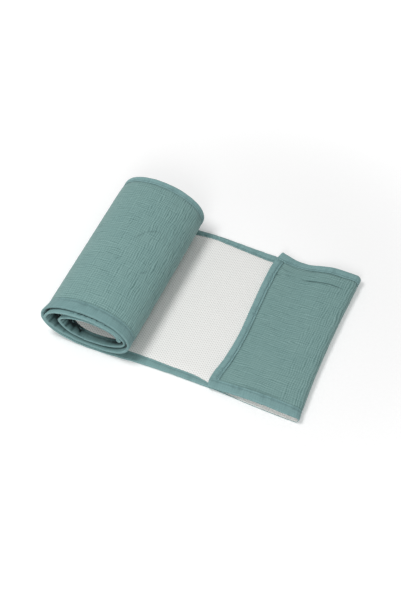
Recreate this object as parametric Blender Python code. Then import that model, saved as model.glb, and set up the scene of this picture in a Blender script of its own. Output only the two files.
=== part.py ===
"""Crib bumper: one long padded strip of cloth, lying mesh side up.

Its left part is wound into a flattened roll, its right part is folded back
over itself.  The strip has a muslin panel and a spacer-mesh panel, held
together all round by a binding.  Metres, +Z up, X along the strip, front at -Y.
"""

import math

import bmesh
import bpy
import numpy as np

MM = 0.001

# The strip across its width
WIDTH = 300 * MM
THICKNESS = 5.2 * MM
MUSLIN_THICK = 1.2 * MM
PRESSED_THICK = 1.0 * MM          # of the muslin where the binding grips it
BINDING_THICK = 1.0 * MM
CLEARANCE = 0.3 * MM              # between neighbouring pieces
END_LEG = 14 * MM                 # how far the end bindings reach onto the cloth
LONG_LEG_AT_END = 17 * MM         # of the long bindings beside them
SEAM_SLOPE = 3 * MM               # where the panel swells beside the binding
EDGE_ROUND = 1.2 * MM
# The long bindings' corners: distance from the strip's end, and how far they draw in
CORNER = ((0.0 * MM, 1.0 * MM), (1.0 * MM, 0.5 * MM), (1.6 * MM, 0.35 * MM))
PANEL_CORNER = 0.7 * MM

HALF = THICKNESS / 2
GRIPPED = HALF - BINDING_THICK - CLEARANCE
PANEL_EDGE = BINDING_THICK + CLEARANCE + 0.6 * MM

# Stages along the strip: the flap's end, its fold, the flat stretch, the roll
FOLD, FLAT, ROLL = 1.0, 2.0, 3.0
ROLL_TURNS = 2.71
HAIRPIN = ROLL + ROLL_TURNS       # the inner end doubles back under the third turn
TAIL = HAIRPIN + 0.1
INNER_END = TAIL + 0.22

# The roll's outer section at its front and back ends: an oval, tilted a little
ROLL_SECTION = {
    #            front        back
    "centre_x": (-142.6 * MM, -141.5 * MM),
    "half_long": (77.2 * MM, 76.9 * MM),
    "half_high": (43.6 * MM, 48.5 * MM),
    "tilt": (math.radians(1.1), math.radians(7.0)),
}
FLARE = 5.5 * MM                  # the roll's left side opens at its front rim
FLARE_DEPTH = 11 * MM
HAIRPIN_RADIUS = 3.1 * MM

# How far the middle of the strip lies inside the oval, a row for each quarter turn
WINDINGS = (
    # quarter turn        inset, mm
    ("lying strip", 2.6),
    ("outer, bottom", 2.6),
    ("outer, left", 2.6),
    ("outer, top", 2.6),
    ("outer, right", 2.6),
    ("second, bottom", 8.8),
    ("second, left", 9.4),
    ("second, top", 8.8),
    ("second, right", 10.5),
    ("third, bottom", 15.0),
    ("third, left", 33.0),
    ("third, top", 15.2),
    ("third, right", 17.4),
)

# How far the strip's two edges stray along Y, and how far the binding reaches
# onto the mesh and onto the muslin
EDGES = (
    # stage   place                  stray, mm      on mesh, mm    on muslin, mm
    #                                front   back   front   back   front   back
    (0.00, "flap end",               0.0,    1.5,   17.0,   17.0,  17.0,   17.0),
    (0.12, "flap, near its end",     0.2,   -0.5,   17.0,   17.0,  17.0,   16.0),
    (0.35, "flap, hollow",           0.0,   -1.5,   12.0,   15.0,  17.5,   14.5),
    (0.60, "flap, rising",          -2.4,   -0.5,    6.0,   15.0,  18.5,   14.5),
    (0.85, "flap, crown",           -3.8,    0.8,    3.0,   15.0,  18.5,   14.5),
    (1.50, "fold",                  -2.6,    0.5,    3.0,   15.0,  17.0,   15.0),
    (2.20, "under the flap",        -1.0,   -1.5,    3.0,   15.0,  17.0,   15.0),
    (2.36, "under the flap's end",   2.4,   -1.8,    3.5,   15.5,  17.0,   15.0),
    (2.43, "beside the flap",        2.6,   -1.5,   10.0,   15.5,  17.0,   15.0),
    (2.60, "flat, middle",           3.0,    1.0,   12.5,   13.0,  17.0,   15.0),
    (2.75, "flat, near the roll",    1.6,    2.8,   15.0,   10.5,  17.0,   15.0),
    (2.90, "flat, under the roll",  -2.0,    0.5,   17.0,   14.0,  17.0,   15.0),
    (3.00, "outer, bottom",         -2.8,    0.0,   17.0,   15.0,  18.0,   14.0),
    (3.25, "outer, left",           -0.5,    2.0,   17.0,   15.0,  19.5,   12.0),
    (3.42, "outer, top left",        1.8,    4.0,   17.0,   15.0,  21.0,   12.0),
    (3.50, "outer, top",             1.0,    3.0,   17.0,   15.0,  21.0,   12.0),
    (3.75, "outer, right",          -2.6,    0.0,   17.0,   15.0,  20.0,   12.0),
    (3.92, "second, low right",     -5.5,   -4.0,   17.0,   15.0,  18.0,   13.0),
    (4.00, "second, bottom",        -3.0,   -3.0,   17.0,   15.0,  17.0,   15.0),
    (4.25, "second, left",          -4.8,   -2.0,   17.0,   15.0,  17.0,   15.0),
    (4.50, "second, top",           -4.8,   -2.0,   17.0,   15.0,  17.0,   15.0),
    (4.75, "second, right",          0.0,    0.0,   17.0,   15.0,  17.0,   15.0),
    (5.00, "third, bottom",          1.2,    1.0,   17.0,   15.0,  17.0,   15.0),
    (5.25, "third, left",            0.0,    0.0,   17.0,   15.0,  17.0,   15.0),
    (5.42, "third, top left",       -5.0,   -2.0,   17.0,   15.0,  17.0,   15.0),
    (5.60, "third, top",            -1.0,    0.0,   17.0,   15.0,  17.0,   15.0),
    (5.81, "hairpin",                1.0,    1.0,   17.0,   15.0,  17.0,   15.0),
    (6.05, "inner end",              4.0,    3.0,   17.0,   17.0,  17.0,   17.0),
)

# The flap's end line and the fold's outer line, seen from above
END_LINE = (
    # share of width   x, mm
    (0.00,  67.0),
    (0.05,  65.3),
    (0.20,  71.5),
    (0.36,  74.6),
    (0.60,  72.4),
    (0.78,  71.2),
    (0.92,  73.3),
    (1.00,  79.5),
)
FOLD_LINE = (
    # share of width   x, mm
    (0.00, 222.5),
    (0.20, 218.5),
    (0.50, 217.3),
    (0.85, 219.8),
    (1.00, 222.5),
)

# How far the flap rises off the layer below, from its end to the fold
FLAP_RISE = (
    # stage   front   middle   back, mm
    (0.00,    0.0,    0.2,    7.5),
    (0.08,    0.2,    0.4,    4.8),
    (0.22,    1.2,    1.0,    0.2),
    (0.38,    3.8,    2.2,    0.2),
    (0.54,    6.6,    3.8,    5.6),
    (0.68,    8.0,    5.4,   10.4),
    (0.84,    7.4,    7.2,   10.0),
    (1.00,    5.6,    7.0,    9.2),
)
LAYER_GAP = 0.5 * MM
SHIFT_Y = 0.8 * MM                # centres the whole on the frame's origin
FLAP_LEVEL = HALF + THICKNESS + LAYER_GAP

# Stations of the build: steps in each stretch of the strip
FLAP_STEPS = 8
FOLD_STEPS = 6
FLAT_STEPS = 9
STEPS_A_TURN = 28
OVAL_STEP = 0.76                  # square root of the oval's height over its length
HAIRPIN_STEPS = 5
TAIL_STEPS = 4
LENGTH_SAMPLES = 4000

COLOURS = {
    # linear red, green, blue and roughness
    "muslin": (0.20, 0.33, 0.31, 0.95),
    "spacer mesh": (0.78, 0.77, 0.76, 0.85),
    "binding": (0.17, 0.30, 0.31, 0.90),
}


def smooth(rows, key, column, at):
    """Read one column of a table as a smooth curve through its rows."""
    xs = np.array([row[key] for row in rows], dtype=float)
    ys = np.array([row[column] for row in rows], dtype=float)
    slopes = np.gradient(ys, xs)
    i = np.clip(np.searchsorted(xs, at) - 1, 0, len(xs) - 2)
    step = xs[i + 1] - xs[i]
    t = np.clip((at - xs[i]) / step, 0.0, 1.0)
    rise = ys[i + 1] - ys[i]
    a = slopes[i] * step - rise
    b = rise - slopes[i + 1] * step
    return ys[i] + t * rise + t * (1 - t) * (a * (1 - t) + b * t)


def between(pair, v):
    """A value that changes evenly from the front edge to the back edge."""
    return pair[0] + (pair[1] - pair[0]) * v


def ring_point(quarters, v):
    """The middle of the wound strip after a number of quarter turns."""
    half_long = between(ROLL_SECTION["half_long"], v)
    half_high = between(ROLL_SECTION["half_high"], v)
    tilt = between(ROLL_SECTION["tilt"], v)
    centre_z = np.hypot(half_long * np.sin(tilt), half_high * np.cos(tilt))
    insets = np.array([row[1] for row in WINDINGS]) * MM
    quarter = np.floor(quarters).astype(int)
    row = np.clip(quarter + 1, 0, len(insets) - 2)
    from_flat = quarter % 2 == 0
    reach_x = half_long - np.where(from_flat, insets[row + 1], insets[row])
    reach_z = half_high - np.where(from_flat, insets[row], insets[row + 1])
    on_left = quarter % 4 < 2
    reach_x = reach_x + np.where(on_left, FLARE * np.exp(-v * WIDTH / FLARE_DEPTH), 0.0)
    angle = quarters * math.pi / 2
    size = np.hypot(reach_x * np.sin(angle), reach_z * np.cos(angle))
    x = -reach_x ** 2 * np.sin(angle) / size
    z = -reach_z ** 2 * np.cos(angle) / size
    return (between(ROLL_SECTION["centre_x"], v) + x * np.cos(tilt) + z * np.sin(tilt),
            centre_z - x * np.sin(tilt) + z * np.cos(tilt))


def roll_point(turns, v):
    """The roll, from where the strip lifts off the ground to its last full layer."""
    lift_off = -between(ROLL_SECTION["tilt"], v) / (math.pi / 2)
    return ring_point(lift_off + (4 - lift_off / ROLL_TURNS) * turns, v)


def roll_normal(turns, v):
    """The outward direction of the roll, square to the cloth."""
    step = 0.002
    x0, z0 = roll_point(turns - step, v)
    x1, z1 = roll_point(turns + step, v)
    length = np.hypot(x1 - x0, z1 - z0)
    return -(z1 - z0) / length, (x1 - x0) / length


def fold_loop(v):
    """Centre and half sizes of the fold's loop, at the middle of the strip."""
    top = FLAP_LEVEL + across_three(FLAP_RISE[-1][1:], v) * MM
    half_high = (top - HALF) / 2
    reach = smooth(FOLD_LINE, 0, 1, v) * MM - HALF
    return reach - half_high, HALF + half_high, half_high


def across_three(values, v):
    """A value known at the front, the middle and the back, at a share v of the width."""
    front, middle, back = values
    off = (2 * v - 1) ** 2
    return middle * (1 - off) + np.where(v < 0.5, front, back) * off


def flap_point(stage, v):
    """The flap, from its bound end to the start of the fold."""
    loop_x, _, _ = fold_loop(v)
    end_x = smooth(END_LINE, 0, 1, v) * MM
    rise = across_three([smooth(FLAP_RISE, 0, column, stage) for column in (1, 2, 3)], v)
    return end_x + (loop_x - end_x) * stage, FLAP_LEVEL + rise * MM


def fold_point(stage, v):
    """The half loop at the right, from the flap down to the lower layer."""
    loop_x, loop_z, radius = fold_loop(v)
    angle = math.pi * (0.5 - (stage - FOLD))
    return loop_x + radius * np.cos(angle), loop_z + radius * np.sin(angle)


def flat_point(stage, v):
    """The lower layer on the ground, from the fold to the roll."""
    loop_x, _, _ = fold_loop(v)
    roll_x, _ = roll_point(0.0 * v, v)
    return loop_x + (roll_x - loop_x) * (stage - FLAT), HALF + 0.0 * stage


def hairpin_point(stage, v):
    """The tight turn from the third layer of the roll into its inner end."""
    end = ROLL_TURNS + 0.0 * v
    x, z = roll_point(end, v)
    nx, nz = roll_normal(end, v)
    angle = math.pi * (stage - HAIRPIN) / (TAIL - HAIRPIN)
    along, out = HAIRPIN_RADIUS * np.sin(angle), HAIRPIN_RADIUS * (np.cos(angle) - 1)
    return x + nx * out + nz * along, z + nz * out - nx * along


def tail_point(stage, v):
    """The inner end, lying against the inside of the third layer."""
    turns = ROLL_TURNS - (stage - TAIL)
    x, z = roll_point(turns, v)
    nx, nz = roll_normal(turns, v)
    return x - 2 * HAIRPIN_RADIUS * nx, z - 2 * HAIRPIN_RADIUS * nz


def strip_middle(stage, v):
    """The middle of the strip's thickness, as x and z."""
    stage, v = np.broadcast_arrays(np.asarray(stage, float), np.asarray(v, float))
    inside = [stage < FOLD, stage < FLAT, stage < ROLL, stage < HAIRPIN, stage < TAIL]
    points = [flap_point(stage, v), fold_point(stage, v), flat_point(stage, v),
              roll_point(stage - ROLL, v), hairpin_point(stage, v)]
    last = tail_point(stage, v)
    return (np.select(inside, [point[0] for point in points], last[0]),
            np.select(inside, [point[1] for point in points], last[1]))


def strip_point(stage, across, level):
    """A point of the strip: across from its front edge, level towards the muslin."""
    v = across / WIDTH
    step = 0.004
    before = np.clip(stage - step, 0.0, INNER_END)
    after = np.clip(stage + step, 0.0, INNER_END)
    x0, z0 = strip_middle(before, v)
    x1, z1 = strip_middle(after, v)
    length = np.hypot(x1 - x0, z1 - z0)
    x, z = strip_middle(stage, v)
    stray = between((smooth(EDGES, 0, 2, stage), smooth(EDGES, 0, 3, stage)), v)
    return (x - level * (z1 - z0) / length,
            across - WIDTH / 2 + stray * MM + SHIFT_Y,
            z + level * (x1 - x0) / length)


def length_table():
    """Stages and how far along the strip's middle each one lies."""
    stages = np.linspace(0.0, INNER_END, LENGTH_SAMPLES)
    x, z = strip_middle(stages, 0.5)
    return stages, np.concatenate([[0.0], np.cumsum(np.hypot(np.diff(x), np.diff(z)))])


def even_round_oval(stage):
    """Move a section of the roll so that the steps round its oval are of like length."""
    quarters = (stage - ROLL) * 4
    whole = math.floor(quarters)
    share = (quarters - whole) * math.pi / 2
    squash = OVAL_STEP if whole % 2 == 0 else 1 / OVAL_STEP
    return ROLL + (whole + math.atan2(squash * math.sin(share), math.cos(share))
                   / (math.pi / 2)) / 4


def build_stations():
    """Stages of the build's sections, those near the two ends by their distance."""
    stages, lengths = length_table()
    total = lengths[-1]

    def stage_at(length):
        return float(np.interp(length, lengths, stages))

    near_end = (END_LEG + CLEARANCE, END_LEG + CLEARANCE + SEAM_SLOPE)
    first, last = stage_at(near_end[1]), stage_at(total - near_end[1])
    inner = []
    for start, end, steps in (
        (first, FOLD, FLAP_STEPS),
        (FOLD, FLAT, FOLD_STEPS),
        (FLAT, ROLL, FLAT_STEPS),
        (ROLL, HAIRPIN, round(ROLL_TURNS * STEPS_A_TURN)),
        (HAIRPIN, TAIL, HAIRPIN_STEPS),
        (TAIL, last, TAIL_STEPS),
    ):
        inner += [start + (end - start) * k / steps for k in range(steps)]
    inner = [even_round_oval(stage) if ROLL < stage < HAIRPIN else stage for stage in inner[1:]]
    return {
        "caps": [(stage_at(d), stage_at(total - d)) for d, _ in CORNER],
        "edge": (stage_at(PANEL_EDGE), stage_at(total - PANEL_EDGE)),
        "gripped": (stage_at(near_end[0]), stage_at(total - near_end[0])),
        "full": (first, last),
        "inner": inner,
        "total": total,
    }


def two_triangles(quad, vertices):
    """Split four corners so that pieces lying on each other share one diagonal."""
    lowest = min(range(4), key=lambda k: sum(vertices[quad[k]]))
    a, b, c, d = quad[lowest:] + quad[:lowest]
    return (a, b, c), (a, c, d)


def add_solid(name, sections, caps, colour):
    """One closed solid through rings of points, its two ends closed by faces."""
    mesh = bpy.data.meshes.new(name)
    vertices = [point for section in sections for point in section]
    count = len(sections[0])
    faces = []
    for k in range(len(sections) - 1):
        for j in range(count):
            near, far = k * count, (k + 1) * count
            turn = (j + 1) % count
            faces += two_triangles((near + j, near + turn, far + turn, far + j), vertices)
    last = (len(sections) - 1) * count
    for cap in caps:
        faces.append(tuple(cap))
        faces.append(tuple(last + j for j in cap))
    mesh.from_pydata(vertices, [], faces)
    work = bmesh.new()
    work.from_mesh(mesh)
    bmesh.ops.recalc_face_normals(work, faces=work.faces)
    work.to_mesh(mesh)
    work.free()
    mesh.shade_smooth()
    mesh.set_sharp_from_angle(angle=math.radians(40))
    mesh.materials.append(MATERIALS[colour])
    piece = bpy.data.objects.new(name, mesh)
    bpy.context.collection.objects.link(piece)
    return piece


def cloth_material(name, red, green, blue, roughness):
    """A matt cloth colour."""
    material = bpy.data.materials.new(name)
    material.use_nodes = True
    shader = material.node_tree.nodes["Principled BSDF"]
    shader.inputs["Base Color"].default_value = (red, green, blue, 1.0)
    shader.inputs["Roughness"].default_value = roughness
    shader.inputs["Metallic"].default_value = 0.0
    return material


def legs(side, stage):
    """The front and back binding's reach onto the muslin (side 1) or the mesh (side -1)."""
    front, back = (6, 7) if side > 0 else (4, 5)
    return (float(smooth(EDGES, 0, front, stage)) * MM,
            float(smooth(EDGES, 0, back, stage)) * MM)


def panel_columns(front_leg, back_leg, corner):
    """Places across a panel, and whether the binding grips it there."""
    near = PANEL_EDGE + corner
    front = [near, front_leg + CLEARANCE, front_leg + CLEARANCE + SEAM_SLOPE]
    back = [near, back_leg + CLEARANCE, back_leg + CLEARANCE + SEAM_SLOPE]
    inner = [WIDTH * share for share in (0.25, 0.5, 0.75)]
    places = front + inner + [WIDTH - place for place in reversed(back)]
    return places, (True, True, False, False, False, False, False, True, True)


def interface(gripped):
    """The level at which the two panels meet."""
    if gripped:
        return GRIPPED - PRESSED_THICK - CLEARANCE / 2
    return HALF - MUSLIN_THICK - CLEARANCE / 2


def panel_section(side, stage, end_gripped, corner):
    """A ring of points round the muslin (side 1) or the mesh (side -1)."""
    outer_places, gripped = panel_columns(*legs(side, stage), corner)
    inner_places, _ = panel_columns(*legs(1, stage), corner)
    outer = [(place, side * (GRIPPED if grip or end_gripped else HALF))
             for place, grip in zip(outer_places, gripped)]
    inner = [(place, interface(grip or end_gripped) + side * CLEARANCE / 2)
             for place, grip in zip(inner_places, gripped)]
    return [strip_point(stage, place, level) for place, level in outer + inner[::-1]]


def add_panel(name, side, stations, colour):
    """One panel of the strip, from the flap's end to the roll's inner end."""
    edge, gripped, full = stations["edge"], stations["gripped"], stations["full"]
    rows = [(edge[0], True, PANEL_CORNER), (gripped[0], True, 0.0), (full[0], False, 0.0)]
    rows += [(stage, False, 0.0) for stage in stations["inner"]]
    rows += [(full[1], False, 0.0), (gripped[1], True, 0.0), (edge[1], True, PANEL_CORNER)]
    sections = [panel_section(side, *row) for row in rows]
    count = len(sections[0])
    caps = [(j, j + 1, count - 2 - j, count - 1 - j) for j in range(count // 2 - 1)]
    return add_solid(name, sections, caps, colour)


def binding_profile(muslin_leg, mesh_leg, opened, corner):
    """A folded binding: distance from the strip's edge, and level."""
    room = HALF - BINDING_THICK if opened else 0.1 * MM
    wall = BINDING_THICK + corner
    return [
        (muslin_leg, HALF), (corner + EDGE_ROUND, HALF),
        (corner, HALF - EDGE_ROUND), (corner, EDGE_ROUND - HALF),
        (corner + EDGE_ROUND, -HALF), (mesh_leg, -HALF),
        (mesh_leg, -room), (wall, -room), (wall, room), (muslin_leg, room),
    ]


BINDING_CAPS = ((0, 1, 8, 9), (1, 2, 8), (2, 3, 7, 8), (3, 4, 7), (4, 5, 6, 7))


def add_long_binding(name, at_back, stations):
    """The binding along one long edge, from end to end."""
    caps, inner = stations["caps"], stations["inner"]
    ends = list(stations["gripped"]) + list(stations["full"])
    corner = [(stages, opened, drawn_in) for stages, opened, (_, drawn_in)
              in zip(caps, (False, False, True), CORNER)]
    rows = [(stages[0], opened, drawn_in) for stages, opened, drawn_in in corner]
    rows += [(stage, True, 0.0) for stage in sorted(ends[::2] + list(inner) + ends[1::2])]
    rows += [(stages[1], opened, drawn_in) for stages, opened, drawn_in in reversed(corner)]
    sections = []
    for stage, opened, drawn_in in rows:
        profile = binding_profile(legs(1, stage)[at_back], legs(-1, stage)[at_back],
                                  opened, drawn_in)
        places = [(WIDTH - place if at_back else place, level) for place, level in profile]
        sections.append([strip_point(stage, place, level) for place, level in places])
    return add_solid(name, sections, BINDING_CAPS, "binding")


def add_end_binding(name, at_start, stations):
    """The short binding across one end, between the two long ones."""
    stages, lengths = length_table()
    sections = []
    places, _ = panel_columns(LONG_LEG_AT_END, LONG_LEG_AT_END, 0.0)
    for place in places[1:-1]:
        section = []
        for distance, level in binding_profile(END_LEG, END_LEG, True, 0.0):
            length = distance if at_start else stations["total"] - distance
            stage = float(np.interp(length, lengths, stages))
            section.append(strip_point(stage, place, level))
        sections.append(section)
    return add_solid(name, sections, BINDING_CAPS, "binding")


def main():
    for piece in list(bpy.data.objects):
        bpy.data.objects.remove(piece, do_unlink=True)
    for name, values in COLOURS.items():
        MATERIALS[name] = cloth_material(name, *values)
    stations = build_stations()
    add_panel("muslin_panel", 1, stations, "muslin")
    add_panel("mesh_panel", -1, stations, "spacer mesh")
    add_long_binding("binding_front", False, stations)
    add_long_binding("binding_back", True, stations)
    add_end_binding("binding_flap_end", True, stations)
    add_end_binding("binding_inner_end", False, stations)


MATERIALS = {}
main()
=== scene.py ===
"""Crib bumper: a padded strip of crinkled muslin and white spacer mesh, bound with
folded tape.  Its left part is rolled up and its right part is folded over."""

import math
from functools import partial

import bpy
import numpy as np
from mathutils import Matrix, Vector


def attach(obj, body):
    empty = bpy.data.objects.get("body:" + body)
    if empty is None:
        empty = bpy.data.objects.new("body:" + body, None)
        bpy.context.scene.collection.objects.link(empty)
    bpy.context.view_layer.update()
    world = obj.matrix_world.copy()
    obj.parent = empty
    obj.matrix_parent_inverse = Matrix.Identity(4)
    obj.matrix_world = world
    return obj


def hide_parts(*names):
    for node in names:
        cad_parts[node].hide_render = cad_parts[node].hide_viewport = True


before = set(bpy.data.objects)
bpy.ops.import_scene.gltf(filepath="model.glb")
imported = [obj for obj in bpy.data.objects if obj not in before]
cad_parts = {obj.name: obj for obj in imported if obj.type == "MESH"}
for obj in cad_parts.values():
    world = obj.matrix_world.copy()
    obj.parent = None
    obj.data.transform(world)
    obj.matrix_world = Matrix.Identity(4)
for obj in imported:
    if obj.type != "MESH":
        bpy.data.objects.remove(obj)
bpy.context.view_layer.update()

bl_info = {
    "name": "Crib bumper",
    "version": (1, 0, 0),
    "blender": (4, 5, 0),
    "location": "View3D > Sidebar > Bumper",
    "description": "Dresses the rolled and folded crib bumper and lights it",
    "category": "Object",
}

MM = 0.001

# ---- The strip's shape, the same sizes as its solids have --------------------

WIDTH = 300 * MM
THICKNESS = 5.2 * MM
HALF = THICKNESS / 2
SHIFT_Y = 0.8 * MM                # centres the whole on the frame's origin
LAYER_GAP = 0.5 * MM
FLAP_LEVEL = HALF + THICKNESS + LAYER_GAP

# Stages along the strip: the flap's end is 0, then each whole number is one of
# the fold's start, the flat stretch and the roll, whose turns each count 1
FOLD, FLAT, ROLL = 1.0, 2.0, 3.0
ROLL_TURNS = 2.71
HAIRPIN = ROLL + ROLL_TURNS
TAIL = HAIRPIN + 0.1
INNER_END = TAIL + 0.22

ROLL_SECTION = {
    #            front        back
    "centre_x": (-142.6 * MM, -141.5 * MM),
    "half_long": (77.2 * MM, 76.9 * MM),
    "half_high": (43.6 * MM, 48.5 * MM),
    "tilt": (math.radians(1.1), math.radians(7.0)),
}
FLARE = 5.5 * MM                  # the roll's left side opens at its front rim
FLARE_DEPTH = 11 * MM
HAIRPIN_RADIUS = 3.1 * MM

# How far each quarter turn of the wound strip lies inside the roll's outline, in mm: first the
# lying strip, then the bottom, left, top and right of each turn
INSETS = (2.6,
          2.6, 2.6, 2.6, 2.6,
          8.8, 9.4, 8.8, 10.5,
          15.0, 33.0, 15.2, 17.4)

# The strip's long edges: how far they stray sideways, and how far their bindings reach onto
# each face
EDGES = (
    # stage, place                  stray, mm   on mesh, mm  on muslin, mm
    #                             front  back  front  back  front  back
    (0.00, "flap end",               0.0,  1.5,  17.0, 17.0,  17.0, 17.0),
    (0.12, "flap, near its end",     0.2, -0.5,  17.0, 17.0,  17.0, 16.0),
    (0.35, "flap, hollow",           0.0, -1.5,  12.0, 15.0,  17.5, 14.5),
    (0.60, "flap, rising",          -2.4, -0.5,   6.0, 15.0,  18.5, 14.5),
    (0.85, "flap, crown",           -3.8,  0.8,   3.0, 15.0,  18.5, 14.5),
    (1.50, "fold",                  -2.6,  0.5,   3.0, 15.0,  17.0, 15.0),
    (2.20, "under the flap",        -1.0, -1.5,   3.0, 15.0,  17.0, 15.0),
    (2.36, "under the flap's end",   2.4, -1.8,   3.5, 15.5,  17.0, 15.0),
    (2.43, "beside the flap",        2.6, -1.5,  10.0, 15.5,  17.0, 15.0),
    (2.60, "flat, middle",           3.0,  1.0,  12.5, 13.0,  17.0, 15.0),
    (2.75, "flat, near the roll",    1.6,  2.8,  15.0, 10.5,  17.0, 15.0),
    (2.90, "flat, under the roll",  -2.0,  0.5,  17.0, 14.0,  17.0, 15.0),
    (3.00, "outer, bottom",         -2.8,  0.0,  17.0, 15.0,  18.0, 14.0),
    (3.25, "outer, left",           -0.5,  2.0,  17.0, 15.0,  19.5, 12.0),
    (3.42, "outer, top left",        1.8,  4.0,  17.0, 15.0,  21.0, 12.0),
    (3.50, "outer, top",             1.0,  3.0,  17.0, 15.0,  21.0, 12.0),
    (3.75, "outer, right",          -2.6,  0.0,  17.0, 15.0,  20.0, 12.0),
    (3.92, "second, low right",     -5.5, -4.0,  17.0, 15.0,  18.0, 13.0),
    (4.00, "second, bottom",        -3.0, -3.0,  17.0, 15.0,  17.0, 15.0),
    (4.25, "second, left",          -4.8, -2.0,  34.0, 15.0,  17.0, 15.0),
    (4.40, "second, top left",      -4.8, -2.0,  34.0, 15.0,  17.0, 15.0),
    (4.50, "second, top",           -4.8, -2.0,  17.0, 15.0,  17.0, 15.0),
    (4.75, "second, right",          0.0,  0.0,  17.0, 15.0,  17.0, 15.0),
    (5.00, "third, bottom",          1.2,  1.0,  17.0, 15.0,  17.0, 15.0),
    (5.25, "third, left",            0.0,  0.0,  27.0, 15.0,  17.0, 15.0),
    (5.42, "third, top left",       -5.0, -2.0,  23.0, 15.0,  17.0, 15.0),
    (5.60, "third, top",            -1.0,  0.0,  17.0, 15.0,  17.0, 15.0),
    (5.81, "hairpin",                1.0,  1.0,  17.0, 15.0,  17.0, 15.0),
    (6.05, "inner end",              4.0,  3.0,  17.0, 17.0,  17.0, 17.0),
)

# The flap's end and the fold's outside: share of the width and x in mm
END_LINE = ((0.00, 67.0), (0.05, 65.3), (0.20, 71.5), (0.36, 74.6), (0.60, 72.4), (0.78, 71.2),
            (0.92, 73.3), (1.00, 79.5))
FOLD_LINE = ((0.00, 222.5), (0.20, 218.5), (0.50, 217.3), (0.85, 219.8), (1.00, 222.5))
# How far the flap rises above its lowest level
FLAP_RISE = (
    # stage   front   middle   back, mm
    (0.00,    0.0,    0.2,    7.5),
    (0.08,    0.2,    0.4,    4.8),
    (0.22,    1.2,    1.0,    0.2),
    (0.38,    3.8,    2.2,    0.2),
    (0.54,    6.6,    3.8,    5.6),
    (0.68,    8.0,    5.4,   10.4),
    (0.84,    7.4,    7.2,   10.0),
    (1.00,    5.6,    7.0,    9.2),
)


def unit(value):
    """A value kept between 0 and 1."""
    return np.clip(value, 0.0, 1.0)


def smooth(rows, column, at):
    """Read one column of a table as a smooth curve through its rows."""
    xs = np.array([row[0] for row in rows], dtype=float)
    ys = np.array([row[column] for row in rows], dtype=float)
    slopes = np.gradient(ys, xs)
    i = np.clip(np.searchsorted(xs, at) - 1, 0, len(xs) - 2)
    step = xs[i + 1] - xs[i]
    t = unit((at - xs[i]) / step)
    rise = ys[i + 1] - ys[i]
    a = slopes[i] * step - rise
    b = rise - slopes[i + 1] * step
    return ys[i] + t * rise + t * (1 - t) * (a * (1 - t) + b * t)


def straight(rows, column, at):
    """Read one column of a table by straight lines between its rows."""
    return np.interp(at, [row[0] for row in rows], [row[column] for row in rows])


def between(pair, v):
    """A value that changes evenly from the front edge to the back edge."""
    return pair[0] + (pair[1] - pair[0]) * v


def ring_point(quarters, v):
    """The middle of the wound strip after a number of quarter turns."""
    half_long = between(ROLL_SECTION["half_long"], v)
    half_high = between(ROLL_SECTION["half_high"], v)
    tilt = between(ROLL_SECTION["tilt"], v)
    centre_z = np.hypot(half_long * np.sin(tilt), half_high * np.cos(tilt))
    insets = np.array(INSETS) * MM
    quarter = np.floor(quarters).astype(int)
    row = np.clip(quarter + 1, 0, len(insets) - 2)
    from_flat = quarter % 2 == 0
    reach_x = half_long - np.where(from_flat, insets[row + 1], insets[row])
    reach_z = half_high - np.where(from_flat, insets[row], insets[row + 1])
    on_left = quarter % 4 < 2
    reach_x = reach_x + np.where(on_left, FLARE * np.exp(-v * WIDTH / FLARE_DEPTH), 0.0)
    angle = quarters * math.pi / 2
    size = np.hypot(reach_x * np.sin(angle), reach_z * np.cos(angle))
    x = -reach_x ** 2 * np.sin(angle) / size
    z = -reach_z ** 2 * np.cos(angle) / size
    return (between(ROLL_SECTION["centre_x"], v) + x * np.cos(tilt) + z * np.sin(tilt),
            centre_z - x * np.sin(tilt) + z * np.cos(tilt))


def roll_point(turns, v):
    """The roll, from where the strip lifts off the ground to its last full layer."""
    lift_off = -between(ROLL_SECTION["tilt"], v) / (math.pi / 2)
    return ring_point(lift_off + (4 - lift_off / ROLL_TURNS) * turns, v)


def roll_normal(turns, v):
    """The outward direction of the roll, square to the cloth."""
    step = 0.002
    x0, z0 = roll_point(turns - step, v)
    x1, z1 = roll_point(turns + step, v)
    length = np.hypot(x1 - x0, z1 - z0)
    return -(z1 - z0) / length, (x1 - x0) / length


def across_three(values, v):
    """A value known at the front, the middle and the back, at a share v of the width."""
    front, middle, back = values
    off = (2 * v - 1) ** 2
    return middle * (1 - off) + np.where(v < 0.5, front, back) * off


def fold_loop(v):
    """Centre and half sizes of the fold's loop, at the middle of the strip."""
    top = FLAP_LEVEL + across_three(FLAP_RISE[-1][1:], v) * MM
    half_high = (top - HALF) / 2
    reach = smooth(FOLD_LINE, 1, v) * MM - HALF
    return reach - half_high, HALF + half_high, half_high


def flap_point(stage, v):
    """The flap, from its bound end to the start of the fold."""
    loop_x, _, _ = fold_loop(v)
    end_x = smooth(END_LINE, 1, v) * MM
    rise = across_three([smooth(FLAP_RISE, column, stage) for column in (1, 2, 3)], v)
    return end_x + (loop_x - end_x) * stage, FLAP_LEVEL + rise * MM


def fold_point(stage, v):
    """The half loop at the right, from the flap down to the lower layer."""
    loop_x, loop_z, radius = fold_loop(v)
    angle = math.pi * (0.5 - (stage - FOLD))
    return loop_x + radius * np.cos(angle), loop_z + radius * np.sin(angle)


def flat_point(stage, v):
    """The lower layer on the ground, from the fold to the roll."""
    loop_x, _, _ = fold_loop(v)
    roll_x, _ = roll_point(0.0 * v, v)
    return loop_x + (roll_x - loop_x) * (stage - FLAT), HALF + 0.0 * stage


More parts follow.
